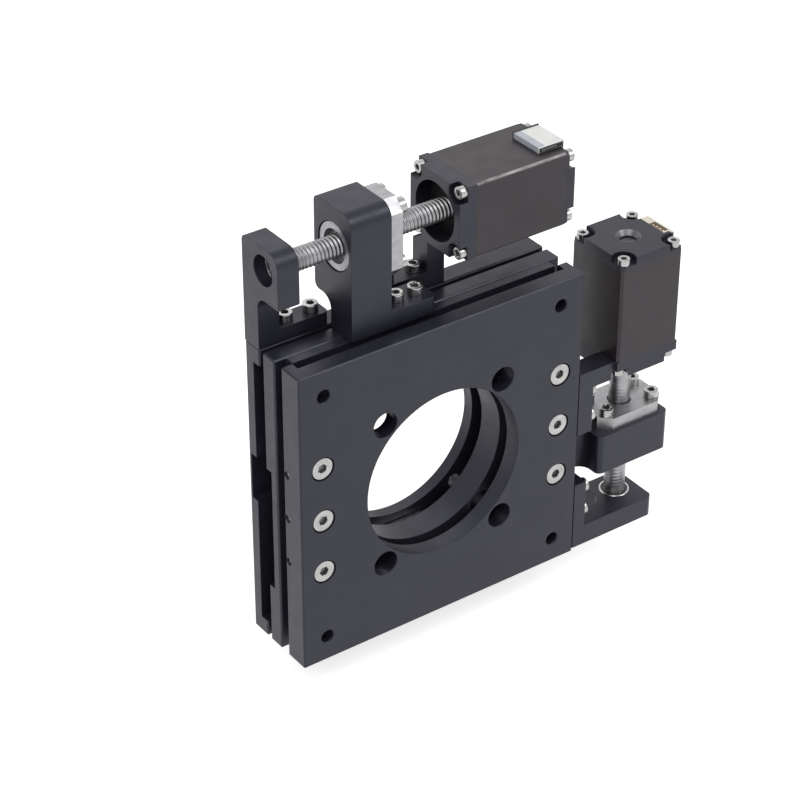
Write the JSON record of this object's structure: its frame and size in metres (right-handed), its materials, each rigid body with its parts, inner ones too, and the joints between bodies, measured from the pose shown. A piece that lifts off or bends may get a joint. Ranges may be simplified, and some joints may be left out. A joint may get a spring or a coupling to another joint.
{
  "type": "motorised two-axis aperture translation stage",
  "caption": "Motorised crossed-roller stage that moves a square plate with a round aperture across and up, with a lead screw drive on each axis.",
  "frame": {"origin": "centre of the aperture on the rear face of the back plate", "axes": "+X is the travel of the horizontal axis, from the end bracket to the motor; +Z is the travel of the vertical axis, up; +Y points out of the rear face, away from the front plate"},
  "size_m": [0.1664, 0.0348, 0.1686],
  "materials": {
    "black_anodised": "satin",
    "rail_steel": "ground",
    "screw_steel": "ground",
    "cage": "satin",
    "bearing_steel": "polished",
    "fastener_steel": "satin",
    "nut_steel": "satin",
    "motor_case": "satin",
    "motor_cap": "satin",
    "rotor": "satin",
    "x_socket": "matte",
    "z_socket": "matte"
  },
  "bodies": {
    "base": {"back_plate": "black_anodised", "x_fixed_rail_upper": "rail_steel", "x_fixed_rail_lower": "rail_steel", "x_fixed_rail_screws": "fastener_steel", "x_end_bracket": "black_anodised", "x_end_bracket_screws": "fastener_steel", "x_bearing_outer_ring": "bearing_steel", "x_motor_bracket": "black_anodised", "x_motor_bracket_screws": "fastener_steel", "x_motor_body": "motor_case", "x_motor_rear_cap": "motor_cap", "x_motor_rear_screws": "fastener_steel", "x_motor_mount_screws": "fastener_steel", "x_motor_connector": "x_socket"},
    "x_screw": {"x_lead_screw": "screw_steel", "x_motor_rotor": "rotor", "x_bearing_inner_ring": "bearing_steel"},
    "x_cages": {"x_roller_cage_upper": "cage", "x_roller_cage_lower": "cage", "x_rollers_upper": "screw_steel", "x_rollers_lower": "screw_steel"},
    "middle": {"middle_plate": "black_anodised", "x_moving_rail_upper": "rail_steel", "x_moving_rail_lower": "rail_steel", "z_fixed_rail_left": "rail_steel", "z_fixed_rail_right": "rail_steel", "x_moving_rail_screws": "fastener_steel", "z_fixed_rail_screws": "fastener_steel", "x_nut_bracket": "black_anodised", "x_nut_bracket_screws": "fastener_steel", "x_lead_nut": "nut_steel", "x_lead_nut_screws": "fastener_steel", "z_nut_bracket": "black_anodised", "z_nut_bracket_screws": "fastener_steel", "z_lead_nut": "nut_steel", "z_lead_nut_screws": "fastener_steel"},
    "z_cages": {"z_roller_cage_left": "cage", "z_roller_cage_right": "cage", "z_rollers_left": "screw_steel", "z_rollers_right": "screw_steel"},
    "front": {"front_plate": "black_anodised", "z_moving_rail_left": "rail_steel", "z_moving_rail_right": "rail_steel", "z_moving_rail_screws": "fastener_steel", "z_preload_screws": "fastener_steel", "z_motor_bracket": "black_anodised", "z_motor_bracket_screws": "fastener_steel", "z_end_bracket": "black_anodised", "z_end_bracket_screws": "fastener_steel", "z_bearing_outer_ring": "bearing_steel", "z_motor_body": "motor_case", "z_motor_rear_cap": "motor_cap", "z_motor_rear_screws": "fastener_steel", "z_motor_mount_screws": "fastener_steel", "z_motor_connector": "z_socket"},
    "z_screw": {"z_lead_screw": "screw_steel", "z_motor_rotor": "rotor", "z_bearing_inner_ring": "bearing_steel"}
  },
  "joints": [
    {"name": "x_travel", "type": "slide", "parent": "base", "child": "middle", "axis": [1, 0, 0], "range_m": [-0.015, 0.015]},
    {"name": "z_travel", "type": "slide", "parent": "middle", "child": "front", "axis": [0, 0, 1], "range_m": [-0.015, 0.015]},
    {"name": "x_screw_turn", "type": "hinge", "parent": "base", "child": "x_screw", "pos_m": [0, -0.0125, 0.0922], "axis": [1, 0, 0], "range_deg": [-3610, 3610]},
    {"name": "z_screw_turn", "type": "hinge", "parent": "front", "child": "z_screw", "pos_m": [0.09, -0.0193, 0], "axis": [0, 0, 1], "range_deg": [-3610, 3610]},
    {"name": "x_cage_travel", "type": "slide", "parent": "base", "child": "x_cages", "axis": [1, 0, 0], "range_m": [-0.0075, 0.0075]},
    {"name": "z_cage_travel", "type": "slide", "parent": "middle", "child": "z_cages", "axis": [0, 0, 1], "range_m": [-0.0075, 0.0075]}
  ],
  "couplings": [
    {"joint": "x_screw_turn", "follows": "x_travel", "rad_per_m": -4188.8},
    {"joint": "z_screw_turn", "follows": "z_travel", "rad_per_m": 4188.8},
    {"joint": "x_cage_travel", "follows": "x_travel", "ratio": 0.5},
    {"joint": "z_cage_travel", "follows": "z_travel", "ratio": 0.5}
  ]
}
